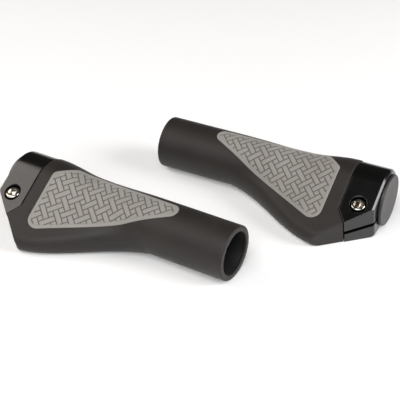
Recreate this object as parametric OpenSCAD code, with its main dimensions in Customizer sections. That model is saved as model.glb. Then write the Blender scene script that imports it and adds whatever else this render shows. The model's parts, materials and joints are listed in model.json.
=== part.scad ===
// Pair of ergonomic bicycle handlebar grips, each held by a clamp at its outer end.
// Working frame of one grip: x = 0 at the inner end and runs negative towards the bar's end,
// y points to the rider (the palm wing), z points up, and the bar's axis is y = z = 0.

/* [Handlebar] */
// Diameter of the handlebar that the grips fit
bar_d = 22.2; // [22:0.1:22.4]
// Clearance around the handlebar, on the radius
bar_clearance = 0.05; // [0.05:0.01:0.15]

/* [Grip] */
// Length of one grip without its end plug
grip_length = 129.8; // [128:0.2:132]
// Outer diameter of the round inner end
tube_d = 28.6; // [28:0.2:30]
// How far the waist pulls in, on the radius
waist_depth = 0.6; // [0:0.1:0.8]
// How far the outer end flares out, on the radius
flare_height = 2.3; // [1.5:0.1:2.6]
// Radius of the rounded edge at the inner end
lip_round = 0.8; // [0.6:0.1:1.4]

/* [Palm wing] */
// Distance from the bar's axis to the back of the wing
wing_reach = 40.6; // [38:0.2:42]
// Radius of the wing's rounded back edge
wing_edge_r = 5.5; // [5:0.1:6]
// Tilt of the wing below the horizontal, in degrees
wing_tilt = 15; // [13:0.5:17]
// Distance from the inner end at which the wing starts
wing_start = 44; // [40:1:48]
// Length over which the wing grows to its full reach
wing_run = 64; // [60:1:66]

/* [Palm pad] */
// Height of the grey pad above the rubber
pad_proud = 0.4; // [0.2:0.1:0.6]
// Depth of the recess that holds the pad
pad_depth = 1; // [0.6:0.1:1]

/* [Clamp] */
// Length of the clamp along the bar
clamp_length = 17.8; // [17:0.2:19]
// Step down from the rubber to the clamp
clamp_step = 0.4; // [0.2:0.1:0.6]
// Gap between the rubber and the clamp
seam_gap = 0.4; // [0.1:0.05:0.5]
// Width of the clamp's slot
slot_w = 2; // [1.5:0.1:2.4]
// Length of the clamp screw under its head
screw_length = 14; // [13:0.5:14.5]

/* [End plug] */
// Diameter of the plug's disc
plug_d = 27.8; // [27:0.1:28]
// How far the disc stands out of the clamp
plug_proud = 1.8; // [1.5:0.1:2.5]
// Largest diameter of the plug's fins
fin_d = 19.4; // [18:0.2:20]

/* [Layout] */
// Turn of the right grip against the left one, in degrees
right_turn = 3.4; // [0:0.1:6]
// Inner end of the left grip, along X
left_x = 42.2; // [40:0.1:44]
// Bar axis of the left grip, along Y
left_y = -29; // [-31:0.1:-27]
// Inner end of the right grip, along X
right_x = -42.7; // [-45:0.1:-41]
// Inner end of the right grip, along Y
right_y = 45.4; // [43:0.1:47]

/* [Hidden] */

$fn = 96;
eps = 0.01;
big = 60;

// Radii along the bar
tube_r = tube_d / 2;
bore_r = bar_d / 2 + bar_clearance;
core_r = 12.6;
collar_r = 12.4;
collar_bore_r = bore_r + 0.2;
clamp_bore_r = collar_r + 0.05;
waist_at = 74;
waist_spread = 16;
flare_at = 85;
flare_run = 25;

// The rubber ends and the clamp starts at the seam, measured from the inner end
seam = grip_length - clamp_length;
lip_depth = 1.5;
lip_bore_r = bore_r + 0.15;

// Oblique cut across the wing's outer corner: a point on it and its slope, as x and the
// distance from the bar along the wing's middle plane
cut_point = [-117.3, 29.5];
cut_slope = 0.92;
bend_u = 22.8;
tip_round = 8;
tip_u = wing_reach + 1.3;
end_round = 2;
clamp_bevel = 1.2;

// Plane of the palm pad, in degrees below the horizontal, and the pad's corners in it:
// x, distance from the bar's axis towards the rider, radius
pad_tilt = 30;
pad_floor = 4;
PAD_CORNERS = [[-36, -5.4, 4.3], [-94.6, -9, 2.1], [-102.3, -2.3, 2.4], [-99.1, 23.2, 5.3]];

// Slot of the core's collar under the clamp, and how far the collar stops short of the end
collar_slot_w = 3;
collar_short = 0.2;

// Clamp screw, square to the clamp's slot, with heights counted from the slot's middle
screw_x = -121;
screw_u = 17.9;
shank_r = 2;
shank_hole_r = 2.2;
thread_hole_r = 2.05;
thread_run_out = 0.6;
head_r = 3.7;
head_h = 4;
head_round = 0.5;
socket_across = 4;
socket_depth = 2.2;
counterbore_r = 4.4;
washer_r = 4;
washer_h = 0.8;
washer_hole_r = 2.15;
seat_h = 6.7;
seat_gap = 0.02;

// End plug, seated on the clamp's end face by a short neck
neck_r = 13.2;
neck_h = 0.3;
plug_round = 0.7;
spigot_r = 8;
spigot_hollow_r = 6.4;
spigot_length = 12;
fin_count = 3;
fin_h = 1.2;
fin_pitch = 3.4;

RUBBER = "#33302e";
PAD = "#a8a39b";
NYLON = "#1c1c1e";
ANODISED = "#232220";
STEEL = "#c9c6c0";
PLUG = "#3a3637";

// Rises smoothly from 0 to 1 as t goes from 0 to 1
function ease(t) = let (c = min(1, max(0, t))) c * c * (3 - 2 * c);

// Radius of the round part at distance d from the inner end
function round_r(d) = tube_r - waist_depth * exp(-pow((d - waist_at) / waist_spread, 2))
    + flare_height * ease((d - flare_at) / flare_run);

// Back edge of the wing at distance d: how far it has grown, its radius and its centre
function growth(d) = ease((d - wing_start) / wing_run);
function edge_r(d) = tube_r - (tube_r - wing_edge_r) * pow(growth(d), 0.35);
function edge_y(d) = tube_r + (wing_reach - tube_r) * growth(d) - edge_r(d);
function edge_z(d) = edge_r(d) - tube_r;

// Points on a circle about c from angle a0 to a1
function arc(c, r, a0, a1, n) = [for (i = [0:n]) let (a = a0 + (a1 - a0) * i / n) c + r * [cos(a), sin(a)]];

// Cross-section at distance d, grown outwards by g, as points in y and z: around the round part,
// along the underside, around the wing's back edge and up the sloping top, over a flat base that
// never rises.
// Where there is no wing yet, the flats are stretches of the same circle.
function section(d, g) =
    let (s = growth(d), round = round_r(d) + g, edge = s > 0 ? edge_r(d) + g : round,
         c = [edge_y(d), edge_z(d)] * (s > 0 ? 1 : 0),
         facing = s > 0 ? atan2(c[1], c[0]) : -45,
         half = s > 0 ? acos((round - edge) / norm(c)) : 45,
         share = s > 0 ? 0 : 15,
         front = arc([0, 0], round, facing + half + share, facing + 360 - half - share, 30),
         back = arc(c, edge, facing - half + share, facing + half - share, 12),
         flat_points = 5,
         under = s > 0 ? line(front[30], back[0], flat_points)
                       : arc(c, round, facing - half - share * 0.7, facing - half + share * 0.7, 4),
         top = s > 0 ? line(back[12], front[0], flat_points)
                     : arc(c, round, facing + half - share * 0.7, facing + half + share * 0.7, 4))
    [for (p = concat(front, under, back, top)) [-d, p[0], max(p[1], -tube_r - max(g, 0))]];
function line(p, q, n) = [for (i = [1:n]) p + (q - p) * i / (n + 1)];

// Solid skin of one grip, grown by g, from the inner end to distance last, bevelled there
module grip_skin(g, last, bevel) {
    stations = concat([for (a = [0:30:90]) [lip_round * (1 - cos(a)), g - lip_round * (1 - sin(a))]],
                      [[20, g]], [for (d = [40:4:108]) [d, g]], [[114, g]],
                      [[last - bevel, g], [last, g - bevel]]);
    rows = [for (s = stations) section(s[0], s[1])];
    sides = len(rows[0]);
    n = len(rows);
    walls = [for (k = [0:n - 2], i = [0:sides - 1])
             let (a = k * sides + i, b = k * sides + (i + 1) % sides)
             [a, b, b + sides, a + sides]];
    ends = [[for (i = [sides - 1:-1:0]) i], [for (i = [0:sides - 1]) (n - 1) * sides + i]];
    polyhedron([for (row = rows) each row], concat(walls, ends));
}

// Children drawn as x and distance along the wing's middle plane, with z square to it
module in_wing_plane() rotate([-wing_tilt, 0, 0]) children();

// Children drawn around z, which runs outwards along the bar from the inner end
module along_bar() rotate([0, -90, 0]) children();

// Children drawn around the clamp screw, with z = 0 in the middle of the slot
module at_screw() in_wing_plane() translate([screw_x, screw_u, 0]) children();

// Plan outlines, as x and distance along the wing's middle plane
cut_len = norm([cut_slope, 1]);
cut_angle = atan2(1, -cut_slope);
cut_offset = cut_point[1] - cut_slope * cut_point[0];
tip_centre = [(tip_u - tip_round - cut_offset + tip_round * cut_len) / cut_slope, tip_u - tip_round];
end_x = -grip_length + end_round + seam_gap;
end_centre = [end_x, cut_offset - end_round * cut_len + cut_slope * end_x];

module rubber_plan()
    polygon(concat([[eps, -big], [eps, tip_u]], arc(tip_centre, tip_round, 90, cut_angle, 8),
                   [cut_point, [-seam, bend_u], [-seam, -big]]));

module clamp_plan()
    translate([-seam_gap, 0])
        polygon(concat([[-seam, -big], [-seam, bend_u], cut_point],
                       arc(end_centre, end_round, cut_angle, 180, 6),
                       [[-grip_length + seam_gap, -big]]));

module pad_plan()
    hull() for (c = PAD_CORNERS) translate([c[0], c[1]]) circle(r = c[2], $fn = 32);

module pad_block()
    rotate([-pad_tilt, 0, 0]) translate([0, 0, pad_floor]) linear_extrude(big) pad_plan();

module rubber_body() color(RUBBER)
    difference() {
        intersection() {
            grip_skin(0, 121, 1);
            in_wing_plane() translate([0, 0, -big]) linear_extrude(2 * big) rubber_plan();
        }
        difference() {
            pad_block();
            grip_skin(-pad_depth, 121, 1);
        }
        along_bar() translate([0, 0, -eps]) cylinder(h = lip_depth + 2 * eps, r = lip_bore_r);
        along_bar() translate([0, 0, lip_depth]) cylinder(h = seam - lip_depth + 1, r = core_r);
    }

module palm_pad() color(PAD)
    difference() {
        intersection() {
            grip_skin(pad_proud, 121, 1);
            pad_block();
        }
        grip_skin(-pad_depth, 121, 1);
    }

module core_sleeve() color(NYLON)
    difference() {
        union() {
            along_bar() translate([0, 0, lip_depth]) cylinder(h = seam - lip_depth, r = core_r);
            along_bar() translate([0, 0, seam - eps])
                cylinder(h = clamp_length - collar_short + eps, r = collar_r);
        }
        along_bar() cylinder(h = seam, r = bore_r);
        along_bar() translate([0, 0, seam - eps]) cylinder(h = big, r = collar_bore_r);
        in_wing_plane() translate([-grip_length, 0, -collar_slot_w / 2])
            cube([clamp_length - 1, core_r + 1, collar_slot_w]);
    }

module clamp_collar() color(ANODISED)
    difference() {
        intersection() {
            grip_skin(-clamp_step, grip_length + 1, clamp_bevel + 1);
            in_wing_plane() translate([0, 0, -big]) linear_extrude(2 * big) clamp_plan();
        }
        along_bar() translate([0, 0, seam - 1]) cylinder(h = big, r = clamp_bore_r);
        in_wing_plane() translate([-grip_length - 1, 0, -slot_w / 2]) cube([big, big, slot_w]);
        at_screw() {
            cylinder(h = big, r = shank_hole_r);
            translate([0, 0, seat_h]) cylinder(h = big, r = counterbore_r);
            mirror([0, 0, 1]) cylinder(h = screw_length - seat_h - washer_h + thread_run_out,
                                       r = thread_hole_r);
        }
    }

module clamp_screw() color(STEEL)
    at_screw() translate([0, 0, seat_h + washer_h + 2 * seat_gap])
        difference() {
            rotate_extrude()
                polygon([[0, -screw_length], [shank_r - 0.4, -screw_length],
                         [shank_r, 0.4 - screw_length], [shank_r, 0], [head_r, 0],
                         [head_r, head_h - head_round], [head_r - head_round, head_h], [0, head_h]]);
            translate([0, 0, head_h - socket_depth])
                cylinder(h = head_h, r = socket_across / 2 / cos(30), $fn = 6);
        }

module screw_washer() color(STEEL)
    at_screw() translate([0, 0, seat_h + seat_gap])
        difference() {
            cylinder(h = washer_h, r = washer_r);
            translate([0, 0, -1]) cylinder(h = washer_h + 2, r = washer_hole_r);
        }

module end_plug() color(PLUG)
    along_bar() translate([0, 0, grip_length])
        difference() {
            union() {
                rotate_extrude()
                    polygon([[0, 0], [neck_r, 0], [neck_r, neck_h], [plug_d / 2, neck_h],
                             [plug_d / 2, plug_proud - plug_round],
                             [plug_d / 2 - plug_round, plug_proud], [0, plug_proud]]);
                translate([0, 0, -spigot_length]) cylinder(h = spigot_length + eps, r = spigot_r);
                for (i = [1:fin_count])
                    translate([0, 0, -i * fin_pitch]) cylinder(h = fin_h, r = fin_d / 2);
            }
            translate([0, 0, -spigot_length - 1]) cylinder(h = spigot_length, r = spigot_hollow_r);
        }

// Both grips lie on their flat undersides with their wings towards -Y
module left_side() translate([left_x, left_y, tube_r]) mirror([0, 1, 0]) children();
module right_side() translate([right_x, right_y, tube_r]) rotate([0, 0, 180 + right_turn]) children();

left_side() rubber_body();  // left_rubber_body
left_side() palm_pad();  // left_palm_pad
left_side() core_sleeve();  // left_core_sleeve
left_side() clamp_collar();  // left_clamp_collar
left_side() clamp_screw();  // left_clamp_screw
left_side() screw_washer();  // left_screw_washer
left_side() end_plug();  // left_end_plug
right_side() rubber_body();  // right_rubber_body
right_side() palm_pad();  // right_palm_pad
right_side() core_sleeve();  // right_core_sleeve
right_side() clamp_collar();  // right_clamp_collar
right_side() clamp_screw();  // right_clamp_screw
right_side() screw_washer();  // right_screw_washer
right_side() end_plug();  // right_end_plug
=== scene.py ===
"""Pair of ergonomic handlebar grips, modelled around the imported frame.

The moulded and machined bodies are drawn as distance fields in the grip's own frame, in mm, and
meshed from them. That frame has x = 0 at the inner end and runs negative towards the bar's end,
y points to the rider, z points up, and the bar's axis is y = z = 0. The wing plane (x, u, w) and
the pad plane are that frame tilted about x. One set of meshes serves both sides: the left grip is
the right one's mirror image.
"""
import json
import math

import bmesh
import bpy
import numpy as np
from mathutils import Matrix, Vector


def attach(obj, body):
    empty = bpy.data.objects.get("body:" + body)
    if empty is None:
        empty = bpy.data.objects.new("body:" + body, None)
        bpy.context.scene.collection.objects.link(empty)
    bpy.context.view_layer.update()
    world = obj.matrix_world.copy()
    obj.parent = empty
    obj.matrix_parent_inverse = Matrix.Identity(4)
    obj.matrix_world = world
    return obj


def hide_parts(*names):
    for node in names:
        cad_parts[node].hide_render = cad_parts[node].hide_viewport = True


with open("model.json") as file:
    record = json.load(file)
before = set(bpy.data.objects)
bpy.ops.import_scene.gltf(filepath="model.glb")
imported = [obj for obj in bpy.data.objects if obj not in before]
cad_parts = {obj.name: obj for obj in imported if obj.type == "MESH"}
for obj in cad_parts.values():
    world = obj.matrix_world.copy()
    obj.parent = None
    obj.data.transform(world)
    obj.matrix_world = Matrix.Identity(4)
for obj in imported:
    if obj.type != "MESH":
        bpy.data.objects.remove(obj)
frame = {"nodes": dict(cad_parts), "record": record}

MM = 0.001
SIDES = ("left", "right")
MOUNTS = {m["name"]: m for m in frame["record"]["mounts"]}
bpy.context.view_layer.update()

# ---- Sizes, in mm ------------------------------------------------------------------------------

MOUNT_TO_END = 57.0  # the bar bore's mount lies this far inside the inner end
TUBE_R = MOUNTS["left_bar_bore"]["pos_m"][2] / MM
BORE_R = MOUNTS["left_bar_bore"]["dims"]["r_mm"]

WAIST_DEPTH, WAIST_AT, WAIST_SPREAD = 0.6, 74, 16
FLARE, FLARE_AT, FLARE_RUN = 2.3, 85, 25
WING_START, WING_RUN, WING_REACH, WING_EDGE_R = 44, 64, 40.6, 5.5
WING_TILT = math.radians(15)
EDGE_GROWTH = 0.35

GRIP_LENGTH = 129.8
SEAM, SEAM_GAP = 112.0, 0.4
CUT_POINT, CUT_SLOPE, BEND_U = (-117.3, 29.5), 0.92, 22.8
TIP_ROUND, TIP_U, END_ROUND = 8.0, WING_REACH + 1.3, 2.0
LIP_ROUND, LIP_DEPTH, LIP_BORE_R, CORE_R = 0.8, 1.5, BORE_R + 0.15, 12.6
RUBBER_EDGE_R, RUBBER_BORE_EDGE_R = 0.55, 0.4

CLAMP_STEP, CLAMP_BEVEL, CLAMP_BORE_R = 0.4, 1.2, 12.45
CUT_EDGE_R, BEVEL_EDGE_R = 0.25, 0.2  # rounding of the clamp's cut edges, and of its bevel's
SLOT_W, SCREW_X, SCREW_U = 2.0, -121.0, 17.9
SEAT_H, COUNTERBORE_R, SHANK_HOLE_R, THREAD_HOLE_R = 6.7, 4.4, 2.2, 2.05
WASHER_H, SEAT_GAP, SCREW_LENGTH, THREAD_RUN_OUT = 0.8, 0.02, 14.0, 0.6

PAD_TILT = math.radians(30)
PAD_CORNERS = [(-99.1, 23.2, 5.3), (-102.3, -2.3, 2.4), (-94.6, -9, 2.1), (-36, -5.4, 4.3)]
PAD_PROUD, PAD_DEPTH, PAD_RIM = 0.4, 1.0, 1.5
WEAVE_UNIT = 2.88  # pitch of the woven strips
WEAVE_AT = (-98.16, 10.2)  # middle of one brick, in the pad plane
GROOVE_HALF, GROOVE_DEPTH = 0.13, 0.37
# Distance from a groove's middle and height there: floor, shoulder, brick's edge, brick's middle
GROOVE_PROFILE = [(GROOVE_HALF, -GROOVE_DEPTH), (0.27, -0.09), (0.5, 0.0), (WEAVE_UNIT / 2, 0.04)]
GROOVE_STOPS = (0, GROOVE_HALF / WEAVE_UNIT, 0.094, 0.174)  # grid lines, in strip widths from it
FIELD_INSET = PAD_RIM + 0.3  # the woven field's edge lies this far inside the pad's
RIM_LINE = [(0.08, -0.14), (0.22, -0.14), (0.36, 0.0), (0.9, 0.0)]  # way out from it, height
PAD_ROUND = 0.35

FAR = 60.0  # well outside a grip
SKIN_TOP = 25.0  # higher than any place of the skin over the pad plane


# ---- Frames ------------------------------------------------------------------------------------

def side_axes(side):
    """Origin and axes of one grip's frame, in the row frame and in metres."""
    mount = MOUNTS[f"{side}_bar_bore"]
    x_axis = np.array(mount["axis"], float)
    z_axis = np.array([0.0, 0.0, 1.0])
    y_axis = np.cross(z_axis, x_axis) * (-1 if side == "left" else 1)
    origin = np.array(mount["pos_m"]) + x_axis * MOUNT_TO_END * MM
    return origin, np.array([x_axis, y_axis, z_axis])


def tilted(points, angle):
    """Grip frame to a frame tilted down about x: x, distance to the rider, height over it."""
    c, s = math.cos(angle), math.sin(angle)
    return np.stack([points[:, 0], points[:, 1] * c - points[:, 2] * s,
                     points[:, 1] * s + points[:, 2] * c], 1)


def untilted(points, angle):
    return tilted(points, -angle)


def mesh_object(name, points, faces, normals=None, side="right"):
    """Object in the row frame from points in a grip's frame in mm. Faces are lists of indices."""
    origin, axes = side_axes(side)
    world = origin + points * MM @ axes
    if side == "left":
        faces = [face[::-1] for face in faces]
    mesh = bpy.data.meshes.new(name)
    mesh.from_pydata(world.tolist(), [], faces)
    mesh.shade_smooth()
    if normals is not None:
        mesh.normals_split_custom_set_from_vertices((normals @ axes).tolist())
    mesh.validate()
    piece = bpy.data.objects.new(name, mesh)
    bpy.context.scene.collection.objects.link(piece)
    return piece


# ---- Distance fields, negative inside ----------------------------------------------------------

def ease(t):
    t = np.clip(t, 0, 1)
    return t * t * (3 - 2 * t)


def round_max(a, b, r):
    """Intersection of two fields, with the edge between them rounded to radius r."""
    corner = np.hypot(np.maximum(a + r, 0), np.maximum(b + r, 0))
    return np.minimum(np.maximum(a, b), -r) + corner


def arc(centre, r, start, end, steps):
    angles = np.radians(np.linspace(start, end, steps + 1))
    return [(centre[0] + r * math.cos(a), centre[1] + r * math.sin(a)) for a in angles]


def polygon_field(outline, px, py):
    """Distance to a closed polygon in a plane."""
    nearest = np.full(px.shape, 1e9)
    inside = np.zeros(px.shape, bool)
    for (ax, ay), (bx, by) in zip(outline, outline[1:] + outline[:1]):
        ex, ey = bx - ax, by - ay
        t = np.clip(((px - ax) * ex + (py - ay) * ey) / (ex * ex + ey * ey), 0, 1)
        nearest = np.minimum(nearest, np.hypot(px - ax - t * ex, py - ay - t * ey))
        if ay != by:
            crosses = (ay > py) != (by > py)
            inside ^= crosses & (px < ax + (py - ay) * ex / ey)
    return np.where(inside, -nearest, nearest)


def round_radius(d):
    waist = WAIST_DEPTH * np.exp(-((d - WAIST_AT) / WAIST_SPREAD) ** 2)
    return TUBE_R - waist + FLARE * ease((d - FLARE_AT) / FLARE_RUN)


def skin(points, grow=0.0):
    """Outer skin of a grip grown by grow: in each section the hull of the round tube and of the
    wing's round back edge, on a flat base."""
    d, y, z = -points[:, 0], points[:, 1], points[:, 2]
    share = np.maximum(ease((d - WING_START) / WING_RUN), 1e-9)
    tube = round_radius(d)
    edge = TUBE_R - (TUBE_R - WING_EDGE_R) * share ** EDGE_GROWTH
    cy = TUBE_R + (WING_REACH - TUBE_R) * share - edge
    cz = edge - TUBE_R
    span = np.hypot(cy, cz)
    along = (y * cy + z * cz) / span
    across = np.abs(y * cz - z * cy) / span
    slope = np.clip((tube - edge) / span, -0.999, 0.999)
    flat = np.sqrt(1 - slope * slope)
    reach = flat * along - slope * across
    field = np.where(reach < 0, np.hypot(along, across) - tube,
                     np.where(reach > flat * span, np.hypot(along - span, across) - edge,
                              flat * across + slope * along - tube))
    return np.maximum(field - grow, -z - TUBE_R)


# Corners of the two plan outlines: rounding of the wing's outer corner and of the clamp's
CUT_LENGTH = math.hypot(CUT_SLOPE, 1)
CUT_ANGLE = math.degrees(math.atan2(1, -CUT_SLOPE))
CUT_OFFSET = CUT_POINT[1] - CUT_SLOPE * CUT_POINT[0]
TIP_CENTRE = ((TIP_U - TIP_ROUND - CUT_OFFSET + TIP_ROUND * CUT_LENGTH) / CUT_SLOPE,
              TIP_U - TIP_ROUND)
END_X = -GRIP_LENGTH + END_ROUND + SEAM_GAP
END_CENTRE = (END_X, CUT_OFFSET - END_ROUND * CUT_LENGTH + CUT_SLOPE * END_X)

RUBBER_PLAN = ([(FAR, -FAR), (FAR, TIP_U)] + arc(TIP_CENTRE, TIP_ROUND, 90, CUT_ANGLE, 12)
               + [CUT_POINT, (-SEAM, BEND_U), (-SEAM, -FAR)])
CLAMP_PLAN = ([(-SEAM, -FAR), (-SEAM, BEND_U), CUT_POINT]
              + arc(END_CENTRE, END_ROUND, CUT_ANGLE, 180, 8) + [(-GRIP_LENGTH + SEAM_GAP, -FAR)])


def rubber_field(points):
    x = points[:, 0]
    radius = np.hypot(points[:, 1], points[:, 2])
    wing = tilted(points, WING_TILT)
    plan = polygon_field(RUBBER_PLAN, wing[:, 0], wing[:, 1])
    body = round_max(skin(points), plan, RUBBER_EDGE_R)
    body = round_max(body, x, LIP_ROUND)
    core = np.minimum(np.maximum(radius - CORE_R, x + LIP_DEPTH), radius - LIP_BORE_R)
    return round_max(body, -core, RUBBER_BORE_EDGE_R)


def clamp_field(points):
    x = points[:, 0]
    radius = np.hypot(points[:, 1], points[:, 2])
    wing = tilted(points, WING_TILT)
    plan = polygon_field(CLAMP_PLAN, wing[:, 0] + SEAM_GAP, wing[:, 1])
    outside = skin(points, -CLAMP_STEP)
    end = -GRIP_LENGTH - x
    bevel = (outside + end + CLAMP_BEVEL) / math.sqrt(2)
    body = round_max(round_max(outside, bevel, BEVEL_EDGE_R), plan, CUT_EDGE_R)
    body = round_max(body, CLAMP_BORE_R - radius, CUT_EDGE_R)
    slot = np.maximum(np.abs(wing[:, 2]) - SLOT_W / 2, -wing[:, 1])
    body = round_max(body, -slot, CUT_EDGE_R)
    off_axis = np.hypot(wing[:, 0] - SCREW_X, wing[:, 1] - SCREW_U)
    height = wing[:, 2]
    counterbore = np.maximum(off_axis - COUNTERBORE_R, SEAT_H - height)
    body = round_max(body, -counterbore, BEVEL_EDGE_R)
    shank = np.maximum(off_axis - SHANK_HOLE_R, -height)
    thread_end = SCREW_LENGTH - SEAT_H - WASHER_H + THREAD_RUN_OUT
    thread = np.maximum(off_axis - THREAD_HOLE_R, np.maximum(height, -thread_end - height))
    return np.maximum(body, -np.minimum(shank, thread))


# ---- Meshes from fields ------------------------------------------------------------------------

def gradient(field, points, h=0.02):
    """Unit direction in which a field rises fastest, and how fast it rises."""
    out = np.empty_like(points)
    for axis in range(3):
        step = np.zeros(3)
        step[axis] = h
        out[:, axis] = field(points + step) - field(points - step)
    length = np.linalg.norm(out, axis=1, keepdims=True)
    return out / np.maximum(length, 1e-9), length[:, 0] / (2 * h)


def surface_net(field, low, high, step):
    """Quad mesh of a field's zero surface: one vertex in each grid cell that the surface crosses,
    drawn onto the surface, and one quad around each grid edge that it crosses."""
    axes = [np.arange(a, b + step, step) for a, b in zip(low, high)]
    grid = np.stack(np.meshgrid(*axes, indexing="ij"), -1)
    shape = grid.shape[:3]
    flat = grid.reshape(-1, 3)
    values = np.concatenate([field(part) for part in np.array_split(flat, 12)]).reshape(shape)
    inside = values < 0
    cells = tuple(n - 1 for n in shape)
    corners = [(i, j, k) for i in (0, 1) for j in (0, 1) for k in (0, 1)]

    def corner(block, c):
        return block[c[0]:c[0] + cells[0], c[1]:c[1] + cells[1], c[2]:c[2] + cells[2]]

    count = sum(corner(inside, c).astype(np.int8) for c in corners)
    mixed = (count > 0) & (count < 8)
    index = np.full(cells, -1)
    index[mixed] = np.arange(mixed.sum())
    total, crossings = np.zeros((mixed.sum(), 3)), np.zeros(mixed.sum())
    for a in corners:
        for axis in range(3):
            if a[axis]:
                continue
            b = tuple(1 if k == axis else a[k] for k in range(3))
            va, vb = corner(values, a)[mixed], corner(values, b)[mixed]
            hit = (va < 0) != (vb < 0)
            t = np.where(hit, va / np.where(va == vb, 1, va - vb), 0)
            spot = np.tile(np.array(a, float), (len(t), 1))
            spot[:, axis] += t
            total[hit] += spot[hit]
            crossings += hit
    base = np.argwhere(mixed)
    points = np.array(low) + (base + total / crossings[:, None]) * step
    for _ in range(4):
        direction, slope = gradient(field, points)
        move = field(points) / np.maximum(slope, 0.5)
        points -= direction * np.clip(move, -step / 2, step / 2)[:, None]
    quads = []
    for axis in range(3):
        u, v = (axis + 1) % 3, (axis + 2) % 3
        first = [slice(None)] * 3
        second = [slice(None)] * 3
        first[axis], second[axis] = slice(0, -1), slice(1, None)
        a, b = inside[tuple(first)], inside[tuple(second)]
        for sign in (1, -1):
            edges = np.argwhere(a & ~b if sign > 0 else ~a & b)
            edges = edges[(edges[:, u] > 0) & (edges[:, v] > 0)]
            ring = []
            for du, dv in ((-1, -1), (0, -1), (0, 0), (-1, 0)):
                cell = edges.copy()
                cell[:, u] += du
                cell[:, v] += dv
                ring.append(index[cell[:, 0], cell[:, 1], cell[:, 2]])
            ring = np.stack(ring, 1)
            quads.append(ring if sign > 0 else ring[:, ::-1])
    quads = np.concatenate(quads)
    return points, quads[(quads >= 0).all(1)].tolist()


def revolved(profile, sides=96, closed=False):
    """Points and faces of a profile of (radius, height) pairs turned around z. A radius may be a
    function of the angle. A zero radius closes the end with a single point."""
    angles = np.linspace(0, 2 * math.pi, sides, endpoint=False)
    points, rings, faces = [], [], []
    for radius, height in profile:
        if not callable(radius) and radius == 0:
            rings.append([len(points)])
            points.append((0, 0, height))
            continue
        rings.append(list(range(len(points), len(points) + sides)))
        for a in angles:
            r = radius(a) if callable(radius) else radius
            points.append((r * math.cos(a), r * math.sin(a), height))
    pairs = list(zip(rings, rings[1:])) + ([(rings[-1], rings[0])] if closed else [])
    for lower, upper in pairs:
        for k in range(sides):
            n = (k + 1) % sides
            face = [lower[k % len(lower)], lower[n % len(lower)],
                    upper[n % len(upper)], upper[k % len(upper)]]
            faces.append(list(dict.fromkeys(face)))
    return np.array(points, float), faces


# ---- The palm pad ------------------------------------------------------------------------------

def outline_of(corners, inset, steps=14):
    """Convex outline around the corner circles, shrunk by inset, as points and outward normals."""
    points, normals = [], []
    count = len(corners)
    for k in range(count):
        before, here, after = (corners[(k + q) % count] for q in (-1, 0, 1))
        start, end = tangent_angle(before, here), tangent_angle(here, after)
        while end < start:
            end += 2 * math.pi
        for a in np.linspace(start, end, steps):
            normal = (math.cos(a), math.sin(a))
            points.append((here[0] + (here[2] - inset) * normal[0],
                           here[1] + (here[2] - inset) * normal[1]))
            normals.append(normal)
    return points, normals


def tangent_angle(a, b):
    """Direction of the outward normal of the line that touches two circles on their right."""
    dx, dy = b[0] - a[0], b[1] - a[1]
    span = math.hypot(dx, dy)
    return math.atan2(dy, dx) - math.pi / 2 - math.asin((b[2] - a[2]) / span)


def weave_distance(x, u):
    """Distance to the nearest groove of the woven pattern: bricks three strips long run both
    ways at 45 degrees, with single squares between their ends."""
    dx, du = x - WEAVE_AT[0], u - WEAVE_AT[1]
    a = (dx + du) / math.sqrt(2) / WEAVE_UNIT
    b = (dx - du) / math.sqrt(2) / WEAVE_UNIT
    i, j = np.round(a).astype(int), np.round(b).astype(int)

    def brick_a(i, j):
        return ((j % 4 == 0) & (i % 4 != 2)) | ((j % 4 == 2) & (i % 4 != 0))

    def brick_b(i, j):
        return ((i % 4 == 2) & (j % 4 != 2)) | ((i % 4 == 0) & (j % 4 != 0))

    nearest = np.full(x.shape, 9.0)
    for way in (1, -1):
        joined = brick_a(i, j) & brick_a(i + way, j)
        nearest = np.minimum(nearest, np.where(joined, 9.0, 0.5 - way * (a - i)))
        joined = brick_b(i, j) & brick_b(i, j + way)
        nearest = np.minimum(nearest, np.where(joined, 9.0, 0.5 - way * (b - j)))
    return nearest * WEAVE_UNIT


def weave_relief(x, u):
    return np.interp(weave_distance(x, u), *zip(*GROOVE_PROFILE))


def on_skin(x, u, grow):
    """Points of the skin grown by grow above places in the pad plane."""
    low, high = np.zeros(len(x)), np.full(len(x), SKIN_TOP)
    for _ in range(26):
        middle = (low + high) / 2
        inside = skin(untilted(np.stack([x, u, middle], 1), PAD_TILT), grow) < 0
        low, high = np.where(inside, middle, low), np.where(inside, high, middle)
    return untilted(np.stack([x, u, low], 1), PAD_TILT)


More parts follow.
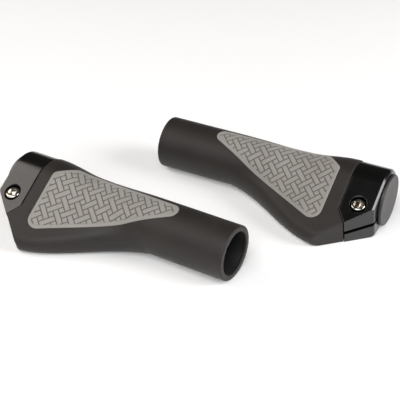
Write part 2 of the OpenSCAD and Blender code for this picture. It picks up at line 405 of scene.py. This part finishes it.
def pad_mesh():
    """Points and faces of the pad, with each point's share of the groove depth: the woven field,
    a rim around it, the walls and the floor."""
    outline, _ = outline_of(PAD_CORNERS, FIELD_INSET)
    # Grid lines of the weave, in strip widths: close together at each groove
    stops = np.array(GROOVE_STOPS)
    stops = np.concatenate([stops, [0.5], 1 - stops[:0:-1]])
    lines = np.concatenate([k + 0.5 + stops for k in range(-18, 30)])
    grid_a, grid_b = np.meshgrid(lines, lines, indexing="ij")
    x = WEAVE_AT[0] + (grid_a + grid_b) * WEAVE_UNIT / math.sqrt(2)
    u = WEAVE_AT[1] + (grid_a - grid_b) * WEAVE_UNIT / math.sqrt(2)
    middle_x = (x[1:, 1:] + x[:-1, :-1]) / 2
    middle_u = (u[1:, 1:] + u[:-1, :-1]) / 2
    wanted = polygon_field(outline, middle_x, middle_u) < WEAVE_UNIT / 2
    bm = bmesh.new()
    made = {}

    def vertex(i, j):
        if (i, j) not in made:
            made[i, j] = bm.verts.new((x[i, j], u[i, j], 0))
        return made[i, j]

    for i, j in np.argwhere(wanted):
        bm.faces.new([vertex(i, j), vertex(i, j + 1), vertex(i + 1, j + 1), vertex(i + 1, j)])
    for (px, py), (qx, qy) in zip(outline, outline[1:] + outline[:1]):
        if math.hypot(qx - px, qy - py) < 1e-6:
            continue
        bmesh.ops.bisect_plane(bm, geom=bm.verts[:] + bm.edges[:] + bm.faces[:], dist=1e-5,
                               plane_co=(px, py, 0), plane_no=(qy - py, px - qx, 0),
                               clear_outer=True)
    bmesh.ops.remove_doubles(bm, verts=bm.verts[:], dist=0.01)
    bm.verts.index_update()
    flat = np.array([v.co[:2] for v in bm.verts])
    faces = [[v.index for v in face.verts] for face in bm.faces]
    rim = [(e.verts[0].index, e.verts[1].index) for e in bm.edges if len(e.link_faces) == 1]
    bm.free()
    faces = [face if area_of(flat[face]) > 0 else face[::-1] for face in faces]
    loop = ordered_loop(rim)
    if area_of(flat[loop]) < 0:
        loop = loop[::-1]
    x, u = flat[:, 0], flat[:, 1]
    relief = weave_relief(x, u)
    points = [place_on_skin(x, u, relief)]
    edge = flat[loop]
    outward = outline_normals(edge, FIELD_INSET)
    rings = list(RIM_LINE)
    rings += [(FIELD_INSET - PAD_ROUND + PAD_ROUND * math.sin(a), PAD_ROUND * (math.cos(a) - 1))
              for a in np.radians([0, 22.5, 45, 67.5, 90])]
    rings += [(FIELD_INSET, -PAD_PROUD - PAD_DEPTH)]
    previous, total = loop, len(flat)
    for offset, rise in rings:
        spots = edge + outward * offset
        points.append(place_on_skin(spots[:, 0], spots[:, 1], np.full(len(spots), rise)))
        ring = list(range(total, total + len(spots)))
        for k in range(len(ring)):
            n = (k + 1) % len(ring)
            faces.append([previous[k], ring[k], ring[n], previous[n]])
        previous, total = ring, total + len(spots)
    middle = edge.mean(0)[None]
    points.append(place_on_skin(middle[:, 0], middle[:, 1], np.array([-PAD_PROUD - PAD_DEPTH])))
    faces += [[previous[k], total, previous[(k + 1) % len(previous)]] for k in range(len(previous))]
    points = np.concatenate(points)
    # Share of the groove depth at each point: the mask for the pad's painted groove shade
    grooves = np.zeros(len(points))
    grooves[:len(flat)] = np.clip(-relief / GROOVE_DEPTH, 0, 1)
    return points, faces, grooves


def place_on_skin(x, u, rise):
    """Pad surface at places in the pad plane, raised by rise along the pad plane's normal."""
    points = tilted(on_skin(x, u, PAD_PROUD), PAD_TILT)
    points[:, 2] += rise
    return untilted(points, PAD_TILT)


def area_of(ring):
    after = np.roll(ring, -1, axis=0)
    return float((ring[:, 0] * after[:, 1] - ring[:, 1] * after[:, 0]).sum() / 2)


def ordered_loop(edges):
    """Vertex indices around a closed loop of edges."""
    neighbours = {}
    for a, b in edges:
        neighbours.setdefault(a, []).append(b)
        neighbours.setdefault(b, []).append(a)
    first = edges[0][0]
    loop, before, here = [first], None, first
    while True:
        step = [n for n in neighbours[here] if n != before][0]
        if step == first:
            return loop
        loop.append(step)
        before, here = here, step


def outline_normals(spots, inset):
    """Outward normals of the pad's outline at places on it, turning smoothly round its corners."""
    outline, normals = outline_of(PAD_CORNERS, inset, steps=40)
    outline, normals = np.array(outline), np.array(normals)
    ends, next_normals = np.roll(outline, -1, axis=0), np.roll(normals, -1, axis=0)
    edge = ends - outline
    length = np.maximum((edge ** 2).sum(1), 1e-12)
    out = np.empty_like(spots)
    for k, spot in enumerate(spots):
        t = np.clip(((spot - outline) * edge).sum(1) / length, 0, 1)
        away = np.linalg.norm(outline + edge * t[:, None] - spot, axis=1)
        best = int(away.argmin())
        out[k] = normals[best] * (1 - t[best]) + next_normals[best] * t[best]
    return out / np.linalg.norm(out, axis=1, keepdims=True)


# ---- Turned pieces -----------------------------------------------------------------------------

HEAD_R, HEAD_H, HEAD_ROUND, HEAD_CHAMFER = 3.7, 4.0, 0.6, 0.2
SOCKET_ACROSS, SOCKET_DEPTH, SOCKET_POINT_H = 4.0, 2.2, 0.6
SOCKET_MOUTH = [(0.5, 0), (0.1, 0.25), (0, 0.35)]  # extra width, depth under the head's top
SHANK_R, THREAD_PITCH, THREAD_DEPTH, THREAD_RINGS = 2.0, 0.7, 0.38, 6  # rings in each turn
TIP_TAPER, TIP_H, NECK_IN, NECK_LENGTH, THREAD_TOP = 0.7, 0.4, 0.1, 0.6, 0.8


def hexagon(across):
    """Radius of a hexagon with a distance across its flats, with slightly rounded corners."""
    def radius(angle):
        off = (angle + math.pi / 6) % (math.pi / 3) - math.pi / 6
        return min(across / 2 / math.cos(off), across / 2 * 1.13)
    return radius


def screw_mesh():
    """Screw around its own axis, z = 0 under the head: threaded shank, head and hex socket."""
    def thread(height):
        def radius(angle):
            phase = (height / THREAD_PITCH - angle / (2 * math.pi)) % 1
            return SHANK_R - THREAD_DEPTH * abs(2 * phase - 1)
        return radius

    turns = (SCREW_LENGTH - TIP_H - THREAD_TOP) / THREAD_PITCH
    heights = np.linspace(-SCREW_LENGTH + TIP_H, -THREAD_TOP, int(turns * THREAD_RINGS) + 1)
    profile = [(0, -SCREW_LENGTH), (SHANK_R - TIP_TAPER, -SCREW_LENGTH)]
    profile += [(thread(h), h) for h in heights]
    profile += [(SHANK_R - NECK_IN, -NECK_LENGTH), (SHANK_R - NECK_IN, 0),
                (HEAD_R - HEAD_CHAMFER, 0), (HEAD_R, HEAD_CHAMFER)]
    profile += [(HEAD_R - HEAD_ROUND * (1 - math.cos(a)), HEAD_H - HEAD_ROUND * (1 - math.sin(a)))
                for a in np.radians([0, 20, 45, 70, 90])]
    profile += [(hexagon(SOCKET_ACROSS + wider), HEAD_H - depth) for wider, depth in SOCKET_MOUTH]
    profile += [(hexagon(SOCKET_ACROSS), HEAD_H - SOCKET_DEPTH),
                (0, HEAD_H - SOCKET_DEPTH - SOCKET_POINT_H)]
    return revolved(profile)


WASHER_BORE_R, WASHER_R, WASHER_CHAMFER = 2.15, 4.0, 0.12


def washer_mesh():
    inner, outer, edge = WASHER_BORE_R, WASHER_R, WASHER_CHAMFER
    profile = [(inner + edge, 0), (outer - edge, 0), (outer, edge), (outer, WASHER_H - edge),
               (outer - edge, WASHER_H), (inner + edge, WASHER_H), (inner, WASHER_H - edge),
               (inner, edge)]
    return revolved(profile, closed=True)


PLUG_R, PLUG_PROUD, PLUG_ROUND, NECK_R, NECK_H = 13.9, 1.8, 0.7, 13.2, 0.3
DISH, DISH_RIM, NECK_CHAMFER = 0.12, 1.4, 0.15
SPIGOT_R, SPIGOT_HOLLOW_R, SPIGOT_LENGTH, SPIGOT_CHAMFER = 8.0, 6.4, 12.0, 0.3
HOLLOW_CORNER, HOLLOW_FLOOR = 0.4, 1.0
FIN_R, FIN_H, FIN_PITCH, FIN_COUNT = 9.7, 1.2, 3.4, 3
FIN_TOP_SLOPE, FIN_LAND_END = 0.25, 0.8  # how far under a fin's top its rim starts and ends


def plug_mesh():
    """End plug around the bar's axis, z = 0 on the clamp's end face and z up away from it."""
    profile = [(0, PLUG_PROUD - DISH), (PLUG_R * 0.5, PLUG_PROUD - DISH * 0.8),
               (PLUG_R - PLUG_ROUND - DISH_RIM, PLUG_PROUD - DISH * 0.2)]
    profile += [(PLUG_R - PLUG_ROUND * (1 - math.cos(a)), PLUG_PROUD - PLUG_ROUND * (1 - math.sin(a)))
                for a in np.radians([90, 72, 54, 36, 18, 0])]
    profile += [(PLUG_R, NECK_H + NECK_CHAMFER), (PLUG_R - NECK_CHAMFER, NECK_H), (NECK_R, NECK_H),
                (NECK_R, 0), (SPIGOT_R, 0)]
    for k in range(1, FIN_COUNT + 1):
        top = -k * FIN_PITCH + FIN_H
        profile += [(SPIGOT_R, top), (FIN_R, top - FIN_TOP_SLOPE), (FIN_R, top - FIN_LAND_END),
                    (SPIGOT_R, top - FIN_H)]
    profile += [(SPIGOT_R, -SPIGOT_LENGTH + SPIGOT_CHAMFER),
                (SPIGOT_R - SPIGOT_CHAMFER, -SPIGOT_LENGTH),
                (SPIGOT_HOLLOW_R + SPIGOT_CHAMFER, -SPIGOT_LENGTH),
                (SPIGOT_HOLLOW_R, -SPIGOT_LENGTH + SPIGOT_CHAMFER),
                (SPIGOT_HOLLOW_R, -HOLLOW_FLOOR - HOLLOW_CORNER),
                (SPIGOT_HOLLOW_R - HOLLOW_CORNER, -HOLLOW_FLOOR), (0, -HOLLOW_FLOOR)]
    points, faces = revolved(profile, sides=128)
    return points, [face[::-1] for face in faces]


def around_screw(points, height):
    """Points drawn around z to the grip's frame, on the screw's axis at a height over the slot."""
    return untilted(points + [SCREW_X, SCREW_U, height], WING_TILT)


def along_bar(points, distance):
    """Points drawn around z to the grip's frame, with z outwards along the bar."""
    return np.stack([-points[:, 2] - distance, points[:, 1], points[:, 0]], 1)


# ---- Materials ---------------------------------------------------------------------------------

def material(name, **settings):
    """New node material with its shader's own settings, as (material, shader, texture position)."""
    made = bpy.data.materials.new(name)
    made.use_nodes = True
    nodes = made.node_tree.nodes
    shader = nodes["Principled BSDF"]
    for socket, value in settings.items():
        shader.inputs[socket.replace("_", " ")].default_value = value
    place = nodes.new("ShaderNodeTexCoord").outputs["Object"]
    return made, shader, place


def noise(made, place, scale, detail=3.0, roughness=0.5):
    node = made.node_tree.nodes.new("ShaderNodeTexNoise")
    node.inputs["Scale"].default_value = scale
    node.inputs["Detail"].default_value = detail
    node.inputs["Roughness"].default_value = roughness
    made.node_tree.links.new(place, node.inputs["Vector"])
    return node.outputs["Fac"]


def ramp(made, value, stops):
    """Colour ramp through (position, colour) stops."""
    node = made.node_tree.nodes.new("ShaderNodeValToRGB")
    elements = node.color_ramp.elements
    elements[0].position, elements[0].color = stops[0][0], (*stops[0][1], 1)
    elements[1].position, elements[1].color = stops[-1][0], (*stops[-1][1], 1)
    for position, colour in stops[1:-1]:
        elements.new(position).color = (*colour, 1)
    made.node_tree.links.new(value, node.inputs["Fac"])
    return node.outputs["Color"]


def spread(made, value, low, high):
    """A value from 0 to 1 mapped to a range."""
    node = made.node_tree.nodes.new("ShaderNodeMapRange")
    node.inputs["From Min"].default_value = 0.3
    node.inputs["From Max"].default_value = 0.7
    node.inputs["To Min"].default_value = low
    node.inputs["To Max"].default_value = high
    made.node_tree.links.new(value, node.inputs["Value"])
    return node.outputs["Result"]


def bump(made, shader, value, depth, strength=1.0):
    node = made.node_tree.nodes.new("ShaderNodeBump")
    node.inputs["Distance"].default_value = depth
    node.inputs["Strength"].default_value = strength
    made.node_tree.links.new(value, node.inputs["Height"])
    made.node_tree.links.new(node.outputs["Normal"], shader.inputs["Normal"])


def mottled(name, colours, roughness, grain, grain_depth, blotch=60.0, **settings):
    """Material with slow colour blotches, a roughness that varies with them and a fine grain."""
    made, shader, place = material(name, **settings)
    links = made.node_tree.links
    slow = noise(made, place, blotch, 4.0)
    links.new(ramp(made, slow, [(0.3, colours[0]), (0.7, colours[1])]), shader.inputs["Base Color"])
    links.new(spread(made, slow, *roughness), shader.inputs["Roughness"])
    bump(made, shader, noise(made, place, grain, 2.0), grain_depth)
    return made


def rubber_material():
    return mottled("moulded_rubber", [(0.0150, 0.0122, 0.0108), (0.0205, 0.0168, 0.0150)],
                   (0.50, 0.60), grain=2600, grain_depth=0.00003,
                   Sheen_Weight=0.05, Sheen_Roughness=0.4, Specular_IOR_Level=0.36)


def pad_material():
    """Grey compound with painted shade in its grooves, darker where they are deeper."""
    made = mottled("soft_grey_compound", [(0.24, 0.225, 0.205), (0.28, 0.265, 0.245)],
                   (0.62, 0.74), grain=2200, grain_depth=0.00003,
                   Sheen_Weight=0.15, Sheen_Roughness=0.5)
    nodes, links = made.node_tree.nodes, made.node_tree.links
    base = nodes["Principled BSDF"].inputs["Base Color"]
    unshaded_colour = base.links[0].from_socket
    groove = nodes.new("ShaderNodeAttribute")
    groove.attribute_name = "groove"
    # Painted shade: a dark colour mixed in by the groove depth share, standing in for the shade in
    # the grooves
    groove_shade_mix = nodes.new("ShaderNodeMix")
    groove_shade_mix.data_type = "RGBA"
    factor, colour_a, colour_b = (groove_shade_mix.inputs[k] for k in (0, 6, 7))
    colour_b.default_value = (0.085, 0.078, 0.070, 1)
    links.new(groove.outputs["Fac"], factor)
    links.new(unshaded_colour, colour_a)
    links.new(groove_shade_mix.outputs[2], base)
    return made


def anodised_material():
    return mottled("black_anodised", [(0.0022, 0.0020, 0.0019), (0.0032, 0.0029, 0.0027)],
                   (0.17, 0.25), grain=5000, grain_depth=0.000008, IOR=1.6)


def nylon_material():
    return mottled("glass_filled_nylon", [(0.010, 0.010, 0.011), (0.018, 0.018, 0.019)],
                   (0.45, 0.6), grain=1800, grain_depth=0.00003)


def nickel_material():
    return mottled("nickel_plate", [(0.62, 0.58, 0.52), (0.70, 0.66, 0.60)],
                   (0.08, 0.15), grain=3000, grain_depth=0.000006, blotch=300.0, Metallic=1.0)


def steel_material():
    return mottled("plain_steel", [(0.40, 0.39, 0.37), (0.50, 0.49, 0.47)],
                   (0.28, 0.40), grain=3000, grain_depth=0.00001, blotch=300.0, Metallic=1.0)


def plug_material():
    return mottled("matte_plastic", [(0.031, 0.0265, 0.0265), (0.038, 0.0325, 0.0325)],
                   (0.42, 0.52), grain=3200, grain_depth=0.00003)


# ---- Putting the grips together ----------------------------------------------------------------

def finished(piece, body, node, made):
    """Gives a piece its material and body, and hides the CAD node that it stands for."""
    piece.data.materials.append(made)
    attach(piece, body)
    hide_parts(node)
    return piece


def crisp(piece):
    """Weighted normals and marked edges, for pieces with flats and sharp edges."""
    piece.data.set_sharp_from_angle(angle=math.radians(38))
    modifier = piece.modifiers.new("normals", "WEIGHTED_NORMAL")
    modifier.keep_sharp = True
    modifier.weight = 80


def recoloured(node, made):
    """Gives a CAD node that stays visible a finished material."""
    mesh = frame["nodes"][node].data
    mesh.materials.clear()
    mesh.materials.append(made)


# Box and cell size of each field's grid, and the step over which its normals are taken
RUBBER_GRID, RUBBER_NORMAL_STEP = ((-124, -17.5, -15), (1, 43, 17.5), 0.6), 0.08
CLAMP_GRID, CLAMP_NORMAL_STEP = ((-131, -17.5, -15), (-111, 34, 17.5), 0.3), 0.04


def build_grips():
    rubber, pad, anodised = rubber_material(), pad_material(), anodised_material()
    nylon, nickel, steel, plastic = (nylon_material(), nickel_material(), steel_material(),
                                     plug_material())
    rubber_net = surface_net(rubber_field, *RUBBER_GRID)
    clamp_net = surface_net(clamp_field, *CLAMP_GRID)
    rubber_normals = gradient(rubber_field, rubber_net[0], RUBBER_NORMAL_STEP)[0]
    clamp_normals = gradient(clamp_field, clamp_net[0], CLAMP_NORMAL_STEP)[0]
    pad_points, pad_faces, pad_grooves = pad_mesh()
    screw_points, screw_faces = screw_mesh()
    washer_points, washer_faces = washer_mesh()
    plug_points, plug_faces = plug_mesh()
    under_head = SEAT_H + WASHER_H + 2 * SEAT_GAP
    for side in SIDES:
        skin_piece = mesh_object(f"{side}_moulded_skin", *rubber_net, rubber_normals, side)
        finished(skin_piece, f"{side}_grip", f"{side}_rubber_body", rubber)
        woven = mesh_object(f"{side}_woven_pad", pad_points, pad_faces, None, side)
        grooves = woven.data.attributes.new("groove", "FLOAT", "POINT")
        grooves.data.foreach_set("value", pad_grooves.astype(np.float32))
        crisp(woven)
        finished(woven, f"{side}_grip", f"{side}_palm_pad", pad)
        collar = mesh_object(f"{side}_machined_clamp", *clamp_net, clamp_normals, side)
        finished(collar, f"{side}_clamp", f"{side}_clamp_collar", anodised)
        screw = mesh_object(f"{side}_socket_screw", around_screw(screw_points, under_head),
                            screw_faces, None, side)
        crisp(screw)
        finished(screw, f"{side}_screw", f"{side}_clamp_screw", nickel)
        washer = mesh_object(f"{side}_flat_washer", around_screw(washer_points, SEAT_H + SEAT_GAP),
                             washer_faces, None, side)
        crisp(washer)
        finished(washer, f"{side}_washer", f"{side}_screw_washer", steel)
        plug = mesh_object(f"{side}_finned_plug", along_bar(plug_points, GRIP_LENGTH),
                           plug_faces, None, side)
        crisp(plug)
        finished(plug, f"{side}_plug", f"{side}_end_plug", plastic)
        recoloured(f"{side}_core_sleeve", nylon)


# ---- Studio ------------------------------------------------------------------------------------

LOOK_AT = Vector((-8.65, 22.4, -1.2)) * MM
CAMERA_AZIMUTH, CAMERA_ELEVATION = math.radians(31.0), math.radians(33.7)
CAMERA_DISTANCE, SENSOR, LENS = 577.4 * MM, 36.0, 94.56
FLOOR_HALF = 3.0  # in metres, like everything in the studio


def add_camera():
    data = bpy.data.cameras.new("camera")
    data.sensor_width, data.lens = SENSOR, LENS
    camera = bpy.data.objects.new("camera", data)
    flat = math.cos(CAMERA_ELEVATION)
    away = Vector((flat * math.sin(CAMERA_AZIMUTH), -flat * math.cos(CAMERA_AZIMUTH),
                   math.sin(CAMERA_ELEVATION)))
    camera.location = LOOK_AT + away * CAMERA_DISTANCE
    camera.rotation_euler = (-away).to_track_quat("-Z", "Y").to_euler()
    bpy.context.scene.collection.objects.link(camera)
    bpy.context.scene.camera = camera


def add_floor():
    half = FLOOR_HALF
    mesh = bpy.data.meshes.new("floor")
    mesh.from_pydata([(-half, -half, 0), (half, -half, 0), (half, half, 0), (-half, half, 0)], [],
                     [(0, 1, 2, 3)])
    floor = bpy.data.objects.new("floor", mesh)
    bpy.context.scene.collection.objects.link(floor)
    floor.data.materials.append(mottled("pale_floor", [(0.92, 0.92, 0.92), (0.94, 0.94, 0.94)],
                                        (0.85, 0.9), grain=200, grain_depth=0.0, blotch=3.0,
                                        Emission_Color=(1, 1, 1, 1), Emission_Strength=0.1))


def add_area_light(name, azimuth, elevation, distance, size, power, colour=(1, 1, 1)):
    """Square soft box aimed at the grips, with its angles in degrees."""
    data = bpy.data.lights.new(name, "AREA")
    data.size, data.energy, data.color = size, power, colour
    light = bpy.data.objects.new(name, data)
    a, e = math.radians(azimuth), math.radians(elevation)
    away = Vector((math.cos(e) * math.sin(a), -math.cos(e) * math.cos(a), math.sin(e)))
    light.location = LOOK_AT + away * distance
    light.rotation_euler = (-away).to_track_quat("-Z", "Y").to_euler()
    bpy.context.scene.collection.objects.link(light)


def add_studio():
    world = bpy.data.worlds.new("studio")
    world.use_nodes = True
    background = world.node_tree.nodes["Background"]
    background.inputs["Color"].default_value = (1, 1, 1, 1)
    background.inputs["Strength"].default_value = 0.05
    bpy.context.scene.world = world
    bpy.context.scene.view_settings.view_transform = "Standard"
    add_area_light("left_box", -72, 40, 1.2, 0.8, 5.5, (1.0, 0.93, 0.87))
    add_area_light("right_box", 105, 27, 1.2, 0.7, 12)
    add_area_light("front_box", 10, 45, 1.3, 1.0, 14)


build_grips()
add_camera()
add_floor()
add_studio()
